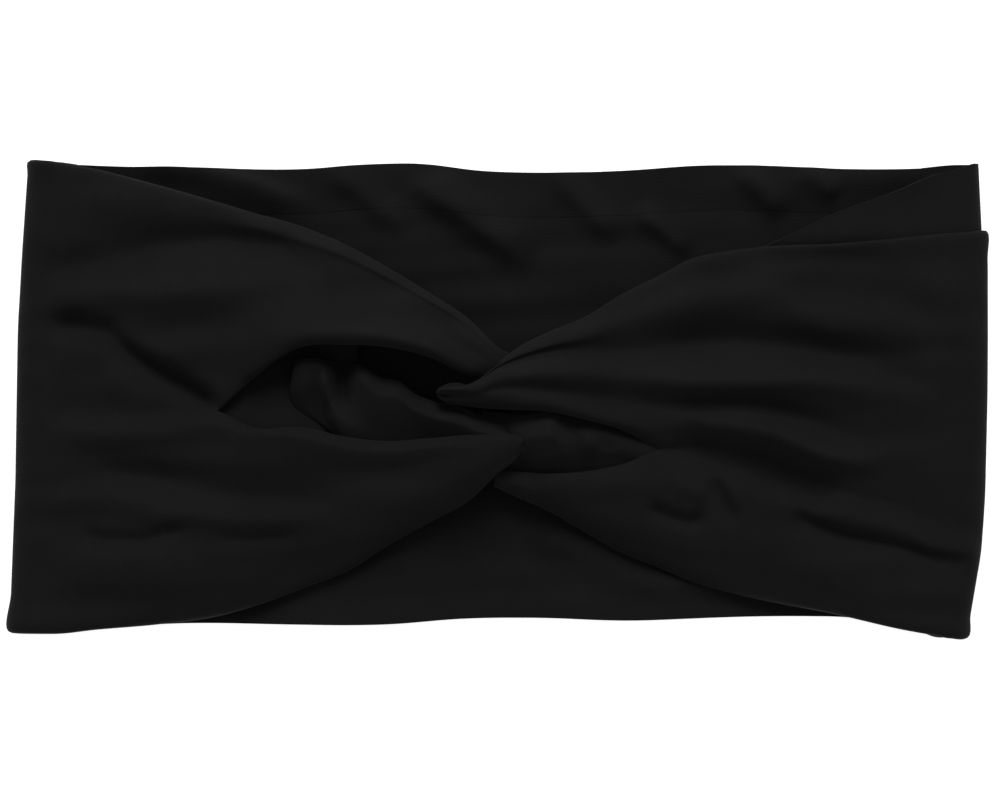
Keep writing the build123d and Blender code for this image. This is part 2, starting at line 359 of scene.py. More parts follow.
def black_single_jersey(name, wale, course, base, worn, relief):
    """Reactive-dyed cotton and elastane single jersey, knitted.

    The dye leaves it almost black, the brushed cotton gives it a soft sheen on its edges, and its
    face is made of columns of V-shaped stitches. wale and course are their spacings, drawn a little
    coarser than the real ones so that they show. base and worn are its colours, and relief is how far
    the stitches stand out. Its colour also carries painted shade: a little darker in the grooves
    between the stitches and a little lighter on their tops.
    """
    material, tree = new_material(name)
    cloth = add_node(tree, "ShaderNodeUVMap", {"uv_map": "cloth"}).outputs["UV"]
    axes = add_node(tree, "ShaderNodeSeparateXYZ", links={0: cloth})
    column = add_node(tree, "ShaderNodeMath", {"operation": "MULTIPLY", 1: 1 / wale}, {0: axes.outputs["Y"]})
    fraction = add_node(tree, "ShaderNodeMath", {"operation": "PINGPONG", 1: 0.5}, {0: column.outputs[0]})
    row = add_node(tree, "ShaderNodeMath", {"operation": "MULTIPLY", 1: 1 / course}, {0: axes.outputs["X"]})
    slanted = add_node(tree, "ShaderNodeMath", {"operation": "MULTIPLY_ADD", 1: STITCH_SLANT},
                       {0: fraction.outputs[0], 2: row.outputs[0]})
    turn = add_node(tree, "ShaderNodeMath", {"operation": "MULTIPLY", 1: 2 * math.pi},
                    {0: slanted.outputs[0]})
    stitch = add_node(tree, "ShaderNodeMath", {"operation": "SINE"}, {0: turn.outputs[0]})
    rib = add_node(tree, "ShaderNodeMath", {"operation": "MULTIPLY_ADD", 1: RIB_SHARE, 2: 0.0},
                   {0: fraction.outputs[0]})
    knit = add_node(tree, "ShaderNodeMath", {"operation": "MULTIPLY_ADD", 1: STITCH_SHARE},
                    {0: stitch.outputs[0], 2: rib.outputs[0]})
    place_of = add_node(tree, "ShaderNodeTexCoord").outputs["Object"]
    fuzz = add_node(tree, "ShaderNodeTexNoise", {"Scale": 1 / (0.35 * MM), "Detail": 3.0, "Roughness": 0.7},
                    {"Vector": place_of})
    patches = add_node(tree, "ShaderNodeTexNoise", {"Scale": 1 / (18 * MM), "Detail": 4.0, "Roughness": 0.6},
                       {"Vector": place_of})
    height = add_node(tree, "ShaderNodeMath", {"operation": "MULTIPLY_ADD", 1: FUZZ_SHARE},
                      {0: fuzz.outputs["Fac"], 2: knit.outputs[0]})
    bump = add_node(tree, "ShaderNodeBump", {"Strength": relief, "Distance": 0.06 * MM},
                    {"Height": height.outputs[0]})
    shade = add_node(tree, "ShaderNodeValToRGB", links={"Fac": patches.outputs["Fac"]})
    shade.color_ramp.elements[0].position = 0.35
    shade.color_ramp.elements[0].color = linear(base)
    shade.color_ramp.elements[1].position = 0.70
    shade.color_ramp.elements[1].color = linear(worn)
    # painted shade: the colour is multiplied a little darker where the knit's relief is low, in the grooves
    # between the stitches, and a little lighter on their tops
    thread = add_node(tree, "ShaderNodeMapRange", {"From Min": -0.5, "From Max": 1.8, "To Min": 0.90,
                                                   "To Max": 1.05}, {"Value": knit.outputs[0]})
    colour = add_node(tree, "ShaderNodeMix", {"data_type": "RGBA", "blend_type": "MULTIPLY", "Factor": 1.0},
                      {6: shade.outputs["Color"], 7: thread.outputs["Result"]})
    rough = add_node(tree, "ShaderNodeMapRange", {"To Min": 0.78, "To Max": 0.95},
                     {"Value": fuzz.outputs["Fac"]})
    cotton = add_node(tree, "ShaderNodeBsdfPrincipled", {
        "IOR": 1.46, "Metallic": 0.0, "Specular IOR Level": 0.15,
        "Sheen Weight": 0.03, "Sheen Roughness": 0.5, "Sheen Tint": linear("#d8d8d8"),
    }, {"Base Color": colour.outputs[2], "Roughness": rough.outputs["Result"],
        "Normal": bump.outputs["Normal"]})
    out = add_node(tree, "ShaderNodeOutputMaterial", links={"Surface": cotton.outputs["BSDF"]})
    out.is_active_output = True
    return material


def spun_polyester_thread(name, twist):
    """Black spun polyester overlock thread, twisted from two yarns: a faint shine along each twist, painted
    into its colour as lighter bands, over a bump of the same bands.
    """
    material, tree = new_material(name)
    place_of = add_node(tree, "ShaderNodeTexCoord").outputs["Object"]
    wave = add_node(tree, "ShaderNodeTexWave", {"wave_type": "BANDS", "bands_direction": "DIAGONAL",
                                                "Scale": 1 / twist / 3, "Distortion": 0.6},
                    {"Vector": place_of})
    # painted highlight and shade: the thread's colour turns lighter and darker in turn along the twist's
    # bands
    shade = add_node(tree, "ShaderNodeValToRGB", links={"Fac": wave.outputs["Fac"]})
    shade.color_ramp.elements[0].color = linear("#0f0f10")
    shade.color_ramp.elements[1].color = linear("#232325")
    bump = add_node(tree, "ShaderNodeBump", {"Strength": 0.6, "Distance": 0.05 * MM},
                    {"Height": wave.outputs["Fac"]})
    polyester = add_node(tree, "ShaderNodeBsdfPrincipled", {
        "IOR": 1.57, "Metallic": 0.0, "Roughness": 0.5, "Sheen Weight": 0.1,
    }, {"Base Color": shade.outputs["Color"], "Normal": bump.outputs["Normal"]})
    add_node(tree, "ShaderNodeOutputMaterial", links={"Surface": polyester.outputs["BSDF"]})
    return material


JERSEY = black_single_jersey("black_cotton_single_jersey", 0.72 * MM, 0.55 * MM,
                             "#131313", "#171717", 0.22)
JERSEY_INSIDE = black_single_jersey("black_cotton_jersey_reverse", 0.9 * MM, 0.42 * MM,
                                    "#121212", "#161616", 0.28)
THREAD = spun_polyester_thread("black_spun_polyester_thread", 0.5 * MM)


def dress(piece, material, *nodes):
    """Finish a piece of the band: its material, its body and the CAD nodes that it stands for."""
    piece.data.materials.clear()
    piece.data.materials.append(material)
    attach(piece, BODY)
    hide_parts(*nodes)
    return piece


# ---- outlines of the side folds, as (v, u of the outermost line) from the top corner down ----
LEFT_EDGE = [(1.005, 0.961), (0.62, 0.974), (0.29, 0.983), (-0.34, 0.988), (-0.971, 1)]
RIGHT_EDGE = [(0.98, 0.978), (0.83, 0.99), (0.66, 0.998), (0.3, 0.999), (0, 0.998), (-0.42, 0.993),
              (-0.64, 0.985), (-1, 0.955)]
# above the right wing's top edge its lining is the outermost cloth, and reaches the outline itself
RIGHT_LINING_EDGE = [(0.98, 0.988), (0.83, 0.998), (0.73, 1.000)] + RIGHT_EDGE[2:]

# ---- left wing ----
LEFT_ROLL = [
    (0.9, [(0.985, -0.02), (0.93, 0.03), (0.6, 0), (0.5, 0.06), (0.42, 0.1), (0.31, 0), (0.18, 0.08),
        (0.07, 0.06), (-0.045, 0)]),
    (0.82, [(0.955, -0.01), (0.88, 0.07), (0.63, 0.02), (0.52, 0.14), (0.44, 0.18), (0.32, 0.06),
        (0.2, 0.16), (0.08, 0.1), (-0.045, 0)]),
    (0.7, [(0.892, 0.02), (0.82, 0.11), (0.62, 0.05), (0.5, 0.23), (0.42, 0.26), (0.3, 0.12), (0.19, 0.21),
        (0.07, 0.09), (-0.045, 0)]),
    (0.575, [(0.82, -0.02), (0.765, 0.13), (0.64, 0.1), (0.51, 0.26), (0.42, 0.31), (0.3, 0.23), (0.2, 0.22),
        (0.09, 0.1), (-0.045, 0)]),
    (0.5, [(0.775, -0.12), (0.735, 0.13), (0.65, 0.13), (0.52, 0.22), (0.42, 0.27), (0.32, 0.32),
        (0.2, 0.38), (0.115, 0.28), (0.085, 0.02)]),
    (0.4, [(0.717, -0.12), (0.68, 0.12), (0.61, 0.17), (0.51, 0.24), (0.42, 0.36), (0.34, 0.52),
        (0.262, 0.66), (0.218, 0.45), (0.235, 0.08)]),
    (0.31, [(0.64, -0.1), (0.61, 0.13), (0.555, 0.18), (0.47, 0.27), (0.39, 0.43), (0.325, 0.64),
        (0.265, 0.81), (0.226, 0.57), (0.25, 0.12)]),
    (0.22, [(0.539, -0.06), (0.515, 0.15), (0.47, 0.21), (0.41, 0.31), (0.35, 0.48), (0.3, 0.68),
        (0.25, 0.85), (0.214, 0.6), (0.24, 0.12)]),
    (0.14, [(0.439, 0), (0.42, 0.17), (0.385, 0.23), (0.34, 0.31), (0.295, 0.44), (0.25, 0.6), (0.205, 0.73),
        (0.174, 0.51), (0.19, 0.1)]),
    (0.06, [(0.33, 0.02), (0.315, 0.2), (0.285, 0.31), (0.25, 0.38), (0.21, 0.39), (0.175, 0.45),
        (0.13, 0.46), (0.098, 0.31), (0.105, 0.06)]),
    (0, [(0.212, 0.1), (0.2, 0.16), (0.185, 0.2), (0.165, 0.23), (0.145, 0.24), (0.125, 0.23), (0.1, 0.17),
        (0.075, 0.1), (0.075, 0)]),
    (-0.04, [(0.17, 0.02), (0.16, 0.05), (0.15, 0.07), (0.14, 0.08), (0.13, 0.08), (0.115, 0.07),
        (0.095, 0.04), (0.07, 0), (0.07, -0.04)]),
]
LEFT_FLAP = [
    (0.9, [(-0.045, 0), (-0.15, 0.08), (-0.24, 0.04), (-0.33, 0), (-0.43, 0.06), (-0.56, 0), (-0.66, 0.06),
        (-0.81, 0.04), (-0.972, 0)]),
    (0.82, [(-0.045, 0), (-0.14, 0.16), (-0.23, 0.1), (-0.32, 0.02), (-0.43, 0.12), (-0.555, 0.02),
        (-0.65, 0.14), (-0.8, 0.06), (-0.955, 0)]),
    (0.7, [(-0.045, 0), (-0.13, 0.21), (-0.21, 0.16), (-0.3, 0.05), (-0.42, 0.18), (-0.55, 0.05),
        (-0.64, 0.1), (-0.79, -0.06), (-0.938, -0.34)]),
    (0.575, [(-0.045, 0), (-0.11, 0.2), (-0.17, 0.19), (-0.31, 0.08), (-0.43, 0.15), (-0.55, 0.1),
        (-0.64, 0.08), (-0.77, -0.12), (-0.905, -0.5)]),
    (0.5, [(-0.115, -0.02), (-0.128, 0.16), (-0.155, 0.3), (-0.32, 0.1), (-0.45, 0.13), (-0.56, 0.08),
        (-0.65, 0.02), (-0.76, -0.18), (-0.863, -0.5)]),
    (0.4, [(-0.115, 0), (-0.128, 0.2), (-0.155, 0.42), (-0.29, 0.19), (-0.43, 0.19), (-0.53, 0.12),
        (-0.61, 0), (-0.7, -0.22), (-0.788, -0.55)]),
    (0.31, [(-0.155, 0.04), (-0.168, 0.26), (-0.195, 0.5), (-0.3, 0.28), (-0.41, 0.27), (-0.5, 0.2),
        (-0.57, 0.06), (-0.64, -0.18), (-0.717, -0.54)]),
    (0.22, [(-0.172, 0.1), (-0.184, 0.32), (-0.208, 0.57), (-0.29, 0.39), (-0.37, 0.36), (-0.44, 0.28),
        (-0.49, 0.14), (-0.545, -0.12), (-0.601, -0.5)]),
    (0.14, [(-0.16, 0.2), (-0.172, 0.42), (-0.192, 0.64), (-0.26, 0.5), (-0.32, 0.46), (-0.375, 0.38),
        (-0.42, 0.22), (-0.465, -0.02), (-0.51, -0.38)]),
    (0.06, [(-0.145, 0.34), (-0.158, 0.54), (-0.18, 0.64), (-0.225, 0.65), (-0.27, 0.63), (-0.31, 0.57),
        (-0.345, 0.42), (-0.38, 0.14), (-0.418, -0.2)]),
    (0, [(-0.138, 0.42), (-0.149, 0.58), (-0.165, 0.67), (-0.192, 0.7), (-0.218, 0.68), (-0.242, 0.62),
        (-0.262, 0.55), (-0.282, 0.34), (-0.302, 0.08)]),
    (-0.035, [(-0.145, 0.44), (-0.152, 0.58), (-0.163, 0.65), (-0.18, 0.67), (-0.196, 0.65), (-0.21, 0.6),
        (-0.222, 0.54), (-0.233, 0.42), (-0.243, 0.26)]),
    (-0.053, [(-0.15, 0.46), (-0.154, 0.54), (-0.16, 0.58), (-0.167, 0.6), (-0.173, 0.58), (-0.178, 0.54),
        (-0.183, 0.5), (-0.188, 0.45), (-0.192, 0.38)]),
    (-0.06, [(-0.152, 0.2), (-0.155, 0.26), (-0.16, 0.3), (-0.166, 0.31), (-0.171, 0.3), (-0.175, 0.27),
        (-0.18, 0.24), (-0.184, 0.2), (-0.188, 0.14)]),
]
LEFT_FOLDS = [
    ([(-116, 30), (-94, 34.5), (-80, 37.5), (-67, 39), (-54, 37), (-42, 30)], -2.5, 4.5, 4, 0.2),
    ([(-108, 27), (-85, 26), (-72, 26.5), (-52, 27)], 0.9, 4, 4, 0.3),
    ([(-88, 16), (-76, 18), (-58, 19.5)], -0.8, 3.2, 3.2, 0.3),
    ([(-112, 18), (-102.8, 18.8), (-96, 17), (-92.8, 13.1), (-86.4, 9), (-80, 5), (-72.4, 0.4),
      (-66.5, -3.6)], -2.5, 2.6, 3.4, 0.16),
    ([(-95, 14.5), (-91, 11.8), (-86.4, 9), (-80, 5), (-72.4, 0.4), (-66.5, -3.6)], -1.3, 2.2, 2, 0.2),
    ([(-100, 7), (-88, 0.5), (-80, -3.5)], 0.7, 3.2, 4, 0.35),
    ([(-112, -7), (-98, -8.5), (-84, -8.5), (-70, -8)], 1, 2.4, 3.4, 0.3),
    ([(-108, -12), (-98, -15.5), (-82, -20.5), (-65, -24), (-45, -24), (-28, -22)], -2.1, 5, 3.5, 0.25),
    ([(-95, -27), (-80, -28), (-60, -29), (-38, -29)], 1.1, 3, 2.4, 0.3),
    ([(-103, -32), (-96, -34), (-86.9, -34.2), (-80, -31.5), (-74, -30.5)], -1.1, 1.3, 2.4, 0.2),
    ([(-72, -33.8), (-59, -33.6), (-46, -32.4)], -0.9, 1.3, 2.4, 0.3),
    ([(-112, -42), (-90, -43), (-66, -42)], 1.1, 5, 5, 0.3),
]

# ---- right wing ----
RIGHT_ROLL = [
    (0.9, [(0.69, 0), (0.58, 0), (0.44, 0.06), (0.22, 0), (0.14, 0.06), (0.05, 0.08), (-0.12, 0),
        (-0.27, 0.06), (-0.38, 0.04), (-0.5, 0)]),
    (0.82, [(0.672, 0.04), (0.57, 0.06), (0.4, 0.22), (0.19, 0.06), (0.12, 0.14), (0.05, 0.18),
        (-0.13, 0.02), (-0.25, 0.16), (-0.35, 0.08), (-0.45, 0)]),
    (0.68, [(0.648, 0.07), (0.58, 0.12), (0.34, 0.34), (0.2, 0.12), (0.14, 0.25), (0.07, 0.33),
        (-0.135, 0.09), (-0.245, 0.3), (-0.3, 0.16), (-0.37, 0)]),
    (0.54, [(0.636, 0.07), (0.55, 0.17), (0.44, 0.37), (0.22, 0.11), (0.14, 0.28), (0.07, 0.43),
        (-0.04, 0.2), (-0.13, 0.34), (-0.19, 0.18), (-0.255, 0.03)]),
    (0.46, [(0.615, 0.06), (0.52, 0.17), (0.42, 0.37), (0.225, 0.11), (0.14, 0.29), (0.068, 0.43),
        (-0.03, 0.21), (-0.11, 0.28), (-0.16, 0.15), (-0.205, 0.02)]),
    (0.39, [(0.585, 0), (0.5, 0.17), (0.4, 0.4), (0.215, 0.14), (0.145, 0.34), (0.075, 0.5), (-0.02, 0.26),
        (-0.09, 0.3), (-0.145, 0.16), (-0.195, 0.02)]),
    (0.33, [(0.52, 0), (0.45, 0.2), (0.37, 0.41), (0.2, 0.19), (0.145, 0.4), (0.088, 0.57), (-0.02, 0.29),
        (-0.115, 0.34), (-0.16, 0.22), (-0.205, 0.02)]),
    (0.25, [(0.439, 0.06), (0.385, 0.28), (0.32, 0.42), (0.188, 0.28), (0.15, 0.5), (0.098, 0.67), (0, 0.38),
        (-0.085, 0.48), (-0.112, 0.42), (-0.128, 0.18)]),
    (0.17, [(0.339, 0.14), (0.305, 0.36), (0.26, 0.5), (0.195, 0.41), (0.158, 0.62), (0.108, 0.78),
        (0.015, 0.52), (-0.045, 0.64), (-0.068, 0.58), (-0.082, 0.3)]),
    (0.1, [(0.281, 0.22), (0.258, 0.44), (0.225, 0.58), (0.188, 0.5), (0.155, 0.72), (0.108, 0.9),
        (0.04, 0.66), (-0.01, 0.78), (-0.035, 0.7), (-0.05, 0.44)]),
    (0.04, [(0.218, 0.44), (0.203, 0.56), (0.182, 0.62), (0.158, 0.58), (0.134, 0.77), (0.1, 0.93),
        (0.048, 0.77), (0.01, 0.84), (-0.02, 0.76), (-0.043, 0.5)]),
    (0, [(0.156, 0.5), (0.15, 0.6), (0.142, 0.66), (0.128, 0.66), (0.11, 0.82), (0.085, 0.9), (0.045, 0.79),
        (0.015, 0.82), (-0.012, 0.72), (-0.04, 0.46)]),
    (-0.05, [(0.073, 0.44), (0.071, 0.54), (0.068, 0.64), (0.062, 0.7), (0.053, 0.77), (0.04, 0.78),
        (0.022, 0.7), (0.008, 0.62), (-0.01, 0.54), (-0.032, 0.38)]),
    (-0.085, [(0.05, 0.38), (0.052, 0.5), (0.051, 0.62), (0.047, 0.7), (0.041, 0.73), (0.032, 0.68),
        (0.02, 0.56), (0.008, 0.52), (-0.006, 0.5), (-0.022, 0.36)]),
    (-0.105, [(0.047, 0.36), (0.05, 0.48), (0.05, 0.6), (0.046, 0.68), (0.04, 0.7), (0.03, 0.6),
        (0.02, 0.44), (0.01, 0.46), (-0.002, 0.5), (-0.014, 0.34)]),
    (-0.118, [(0.041, 0.34), (0.044, 0.44), (0.044, 0.55), (0.041, 0.62), (0.036, 0.63), (0.029, 0.52),
        (0.022, 0.42), (0.015, 0.46), (0.007, 0.46), (0.001, 0.3)]),
    (-0.125, [(0.036, 0.1), (0.037, 0.18), (0.037, 0.26), (0.035, 0.32), (0.031, 0.32), (0.026, 0.26),
        (0.022, 0.2), (0.018, 0.22), (0.014, 0.18), (0.01, 0.06)]),
]
RIGHT_LEG = [
    (0.9, [(-0.5, 0), (-0.56, 0.04), (-0.61, 0.06), (-0.66, 0), (-0.72, 0.04), (-0.8, 0.04), (-0.89, 0.02),
        (-0.985, 0)]),
    (0.82, [(-0.45, 0), (-0.5, 0.08), (-0.55, 0.16), (-0.605, 0), (-0.66, 0.06), (-0.75, 0.1), (-0.85, 0.06),
        (-0.955, 0)]),
    (0.68, [(-0.37, 0), (-0.42, 0.1), (-0.48, 0.21), (-0.545, 0.04), (-0.6, 0.09), (-0.68, 0.14),
        (-0.78, -0.04), (-0.892, -0.32)]),
    (0.54, [(-0.255, 0.03), (-0.33, 0.1), (-0.41, 0.17), (-0.49, 0.14), (-0.57, 0.13), (-0.65, 0.08),
        (-0.74, -0.12), (-0.838, -0.5)]),
    (0.46, [(-0.205, 0.02), (-0.28, 0.11), (-0.36, 0.17), (-0.45, 0.15), (-0.54, 0.13), (-0.62, 0.04),
        (-0.71, -0.18), (-0.8, -0.58)]),
    (0.39, [(-0.195, 0.02), (-0.27, 0.14), (-0.35, 0.2), (-0.43, 0.18), (-0.51, 0.15), (-0.59, 0.03),
        (-0.67, -0.2), (-0.757, -0.61)]),
    (0.33, [(-0.205, 0.02), (-0.265, 0.17), (-0.33, 0.23), (-0.41, 0.21), (-0.48, 0.17), (-0.56, 0.02),
        (-0.63, -0.22), (-0.705, -0.62)]),
    (0.25, [(-0.268, 0.15), (-0.29, 0.23), (-0.33, 0.26), (-0.38, 0.24), (-0.44, 0.17), (-0.51, 0.02),
        (-0.57, -0.22), (-0.639, -0.61)]),
    (0.17, [(-0.299, 0.18), (-0.32, 0.23), (-0.35, 0.23), (-0.385, 0.2), (-0.42, 0.13), (-0.46, -0.01),
        (-0.5, -0.22), (-0.547, -0.56)]),
    (0.1, [(-0.306, 0.13), (-0.322, 0.16), (-0.345, 0.17), (-0.365, 0.15), (-0.39, 0.1), (-0.415, -0.02),
        (-0.44, -0.2), (-0.464, -0.46)]),
    (0.04, [(-0.299, 0.05), (-0.31, 0.09), (-0.325, 0.11), (-0.34, 0.12), (-0.36, 0.1), (-0.375, -0.02),
        (-0.39, -0.14), (-0.408, -0.32)]),
    (-0.01, [(-0.28, -0.02), (-0.29, 0.02), (-0.3, 0.04), (-0.31, 0.05), (-0.325, 0.04), (-0.335, 0.02),
        (-0.345, -0.06), (-0.36, -0.16)]),
]
RIGHT_FOLDS = [
    ([(50, 34), (64, 34.8), (80, 34.4), (99, 32)], -1, 3.4, 2.6, 0.3),
    ([(60, 24), (72, 26), (84, 26.5), (97, 25), (110, 19)], -2.1, 5.5, 4, 0.3),
    ([(30, 13), (40, 13.6), (56.7, 14), (70, 12.6), (81.2, 10.5), (95, 7), (112, 2)], -2, 5, 3.6, 0.2),
    ([(32, 6), (47, 4.5), (60, 5), (75, 4.8), (96, 2)], 1.2, 3.2, 2.8, 0.3),
    ([(28, 0), (47, -0.6), (62, -1.4), (75, -4.5), (90, -9)], -1.3, 2.4, 2.4, 0.3),
    ([(42, -6.8), (56, -6.2), (66, -8.5), (78, -13), (96, -18)], 1.8, 2.8, 3.2, 0.3),
    ([(38, -12), (52, -14), (63, -16.5), (72, -21), (86, -26.5)], -2.4, 3.8, 3.2, 0.25),
    ([(70, -27), (76, -29.5), (84.2, -33.3), (96.4, -35.7), (107.7, -38.4),
      (116, -39.4)], -1.4, 1.1, 3, 0.1),
    ([(35, -25.4), (41.5, -28.2), (46.9, -29.8), (51.8, -27.4)], -1.9, 1.7, 2.2, 0.25),
    ([(51, -18), (54, -22.5), (55.7, -26.5), (59, -31)], -1.8, 1.6, 1.9, 0.3),
    ([(42, -20.5), (48, -22.5), (52, -23)], 1.2, 2.2, 2.6, 0.3),
    ([(60, -36), (76, -44), (96, -49)], 1, 5, 4, 0.35),
]

# ---- back panel ----
BACK_TOP = [(-0.96, 0.995), (-0.8, 0.98), (-0.62, 0.972), (-0.4, 0.968), (-0.26, 0.988), (-0.16, 0.99),
            (-0.05, 0.963), (0.12, 0.953), (0.25, 0.96), (0.42, 0.983), (0.55, 0.982), (0.72, 0.968),
            (0.83, 0.968), (0.96, 0.98)]
BACK_BOTTOM = [(-0.96, -0.965), (-0.8, -0.955), (-0.65, -0.94), (-0.42, -0.944), (-0.22, -0.94),
               (-0.08, -0.918), (0.08, -0.915), (0.25, -0.926), (0.45, -0.914), (0.62, -0.91),
               (0.72, -0.915), (0.83, -0.945), (0.96, -0.985)]
BACK_FOLDS = [
    ([(-92, 59), (-76, 57), (-60, 53), (-44, 46.5)], 2.2, 2.4, 4.6, 0.25),
    ([(-21, 56.5), (-18.2, 52.1), (-10.8, 47), (-2.9, 41.3), (3.4, 36.9), (9, 33)], 3.4, 6, 3.6, 0.25),
    ([(-44, 57), (-36, 52.5), (-28, 46), (-22, 40)], 1.6, 4, 3, 0.3),
    ([(12, 57), (18, 51), (24, 45), (30, 38)], 1.9, 4.4, 3.2, 0.3),
    ([(33, 48), (38.3, 43.1), (43.2, 39.1), (48.1, 35.2)], 1.8, 3.2, 2.4, 0.3),
    ([(58, 58), (62.4, 53.3), (66.3, 49.2), (70.5, 44)], 1.9, 3.8, 2.8, 0.3),
    ([(74, 58), (79, 53.3), (84, 49.2)], 1.3, 3.2, 2.6, 0.3),
    ([(-66, -60.5), (-40, -60.5), (0, -59.5), (40, -59.5), (64, -60.5)], 2.1, 13, 8, 0.22),
    ([(4, -31), (13, -35), (25, -40), (38, -45.5), (50, -50)], 1.3, 3.4, 4.4, 0.25),
]


def lay_wing(name, roll, leg, folds, edge, direction, ends, seam_ends, hems):
    """A front wing: one sheet from the closing seam round the side fold to the knot, slit at the eye.

    ends and seam_ends are the shares of the half height that its upper and lower edges reach at the
    fold and at the seam. hems are the (width, drop) of its upper and lower hem.
    """
    nets = []
    for rows, is_roll in ((roll, True), (leg, False)):
        net = stations(rows, direction)
        part = 0 if is_roll else 1
        reach = [end if i == part else None for i, end in enumerate(ends)]
        seam_reach = [end if i == part else None for i, end in enumerate(seam_ends)]
        turn = side_turn(net[0], edge, direction, WING_TOP, reach, seam_reach)
        net = np.concatenate([turn, net], axis=0)
        width, drop = hems[part]
        nets.append(turned_hem(net, is_roll, width, drop, len(turn)))
    corner = next(i for i, (upper, lower) in enumerate(zip(roll, leg)) if upper[1][-1] != lower[1][0])
    shared = len(turn) + corner
    # the rows up to the eye's corner are spaced alike in both halves, so that they meet point for point
    along = spacing(nets[0][:shared], 0)
    shared_count = int(along[-1] / CELL)
    filled_halves = []
    for net in nets:
        at = spacing(net, 0)
        rest_count = max(int((at[-1] - at[shared - 1]) / CELL), 4)
        wanted = np.concatenate([np.interp(np.linspace(0, along[-1], shared_count + 1), along, at[:shared]),
                                 np.linspace(at[shared - 1], at[-1], rest_count + 1)[1:]])
        net = smooth(net, at, wanted)
        across = spacing(net, 1)
        columns = max(int(across[-1] / CELL), 8)
        wanted = np.linspace(0, across[-1], columns + 1)
        filled_halves.append(np.moveaxis(smooth(np.moveaxis(net, 1, 0), across, wanted), 0, 1))
    upper, lower = filled_halves
    meeting = (upper[:shared_count, -1] + lower[:shared_count, 0]) / 2
    upper[:shared_count, -1] = meeting
    lower[:shared_count, 0] = meeting
    across_upper = spacing(upper, 1)[-1]
    piece = grid_mesh(name, [(upper, 0.0), (lower, across_upper)], folds, FOLD_FLOOR)
    weld(piece, 0.01 * MM)
    thicken(piece, PLY, direction)
    return piece


left_wing = lay_wing("left_wing_cloth", LEFT_ROLL, LEFT_FLAP, LEFT_FOLDS, LEFT_EDGE, -1,
                     (0.995, -0.972), (0.985, -0.955),
                     ((WING_HEM, 2 * PLY + PLY_GAP), (WING_HEM, PLY + PLY_GAP)))
dress(left_wing, JERSEY, "left_outer_ply")
right_wing = lay_wing("right_wing_cloth", RIGHT_ROLL, RIGHT_LEG, RIGHT_FOLDS, RIGHT_EDGE, 1,
                      (0.705, -0.998), (0.705, -0.975),
                      ((LIP_HEM, 0.9 * PLY), (WING_HEM, PLY + PLY_GAP)))
dress(right_wing, JERSEY, "right_outer_ply")

# ---- linings: the inner plies, flat inside the wings ----
LEFT_LINING = [
    (0.9, [(0.915, 0), (0.6, 0), (0.3, 0), (0.12, 0), (-0.05, 0), (-0.2, 0), (-0.5, 0), (-0.915, 0)]),
    (0.72, [(0.835, 0), (0.55, 0), (0.28, 0), (0.12, 0), (-0.05, 0), (-0.2, 0), (-0.48, 0), (-0.85, -0.12)]),
    (0.62, [(0.775, 0), (0.5, 0), (0.25, 0), (0.12, -0.04), (-0.03, -0.06), (-0.18, -0.06), (-0.45, 0),
        (-0.79, -0.16)]),
    (0.55, [(0.735, 0), (0.46, 0), (0.26, -0.06), (0.12, -0.2), (-0.02, -0.16), (-0.16, -0.12), (-0.42, 0),
        (-0.71, -0.2)]),
    (0.46, [(0.66, 0), (0.44, 0), (0.28, -0.12), (0.14, -0.36), (-0.02, -0.3), (-0.18, -0.18), (-0.4, -0.1),
        (-0.63, -0.22)]),
    (0.37, [(0.6, 0), (0.42, 0), (0.28, -0.15), (0.15, -0.45), (-0.02, -0.42), (-0.2, -0.3), (-0.38, -0.1),
        (-0.56, -0.22)]),
    (0.29, [(0.58, 0), (0.42, 0), (0.3, -0.15), (0.15, -0.48), (-0.02, -0.48), (-0.18, -0.4), (-0.36, -0.1),
        (-0.5, -0.2)]),
]
RIGHT_LINING = [
    (0.9, [(0.945, 0), (0.46, 0), (0, 0), (-0.47, 0), (-0.93, 0)]),
    (0.81, [(0.87, 0), (0.43, 0), (0, 0), (-0.45, 0), (-0.88, 0)]),
    (0.68, [(0.775, 0), (0.38, 0), (0, 0), (-0.42, 0), (-0.76, -0.16)]),
    (0.56, [(0.655, 0), (0.32, 0), (0, 0), (-0.4, 0), (-0.68, -0.22)]),
    (0.37, [(0.5, 0), (0.25, 0), (0, 0), (-0.33, 0), (-0.54, -0.2)]),
]


def lay_lining(name, rows, folds, edge, direction, ends, seam_ends, node):
    """An inner ply: it follows the folds of the wing over it, and goes round the side fold inside it."""
    net = stations(rows, direction)
    net[..., 2] += LINING_TOP - WING_TOP
    net = np.concatenate([side_turn(net[0], edge, direction, LINING_TOP, ends, seam_ends), net], axis=0)
    piece = grid_mesh(name, [(filled(net, 2 * CELL), 0.0)], folds, FOLD_FLOOR)
    thicken(piece, PLY, direction)
    return dress(piece, JERSEY_INSIDE, node)


left_lining = lay_lining("left_lining_cloth", LEFT_LINING, LEFT_FOLDS, LEFT_EDGE, -1,
                         (0.94, -0.92), (0.93, -0.905), "left_inner_ply")
right_lining = lay_lining("right_lining_cloth", RIGHT_LINING, RIGHT_FOLDS, RIGHT_LINING_EDGE, 1,
                          (0.985, -0.945), (0.972, -0.92), "right_inner_ply")


# ---- back panel and hems ----
BACK_STATIONS = 41                 # points along the band, and across each strip of the back panel
BACK_COLUMNS = 9
PRESS_REACH = 0.9                  # the share of a hem's width over which it sinks toward its inner edge
PRESS_SHAPE = 1.5                  # over 1, it sinks slowly at first
PRESS_DEPTH = 0.94 * PLY           # how far that edge sinks


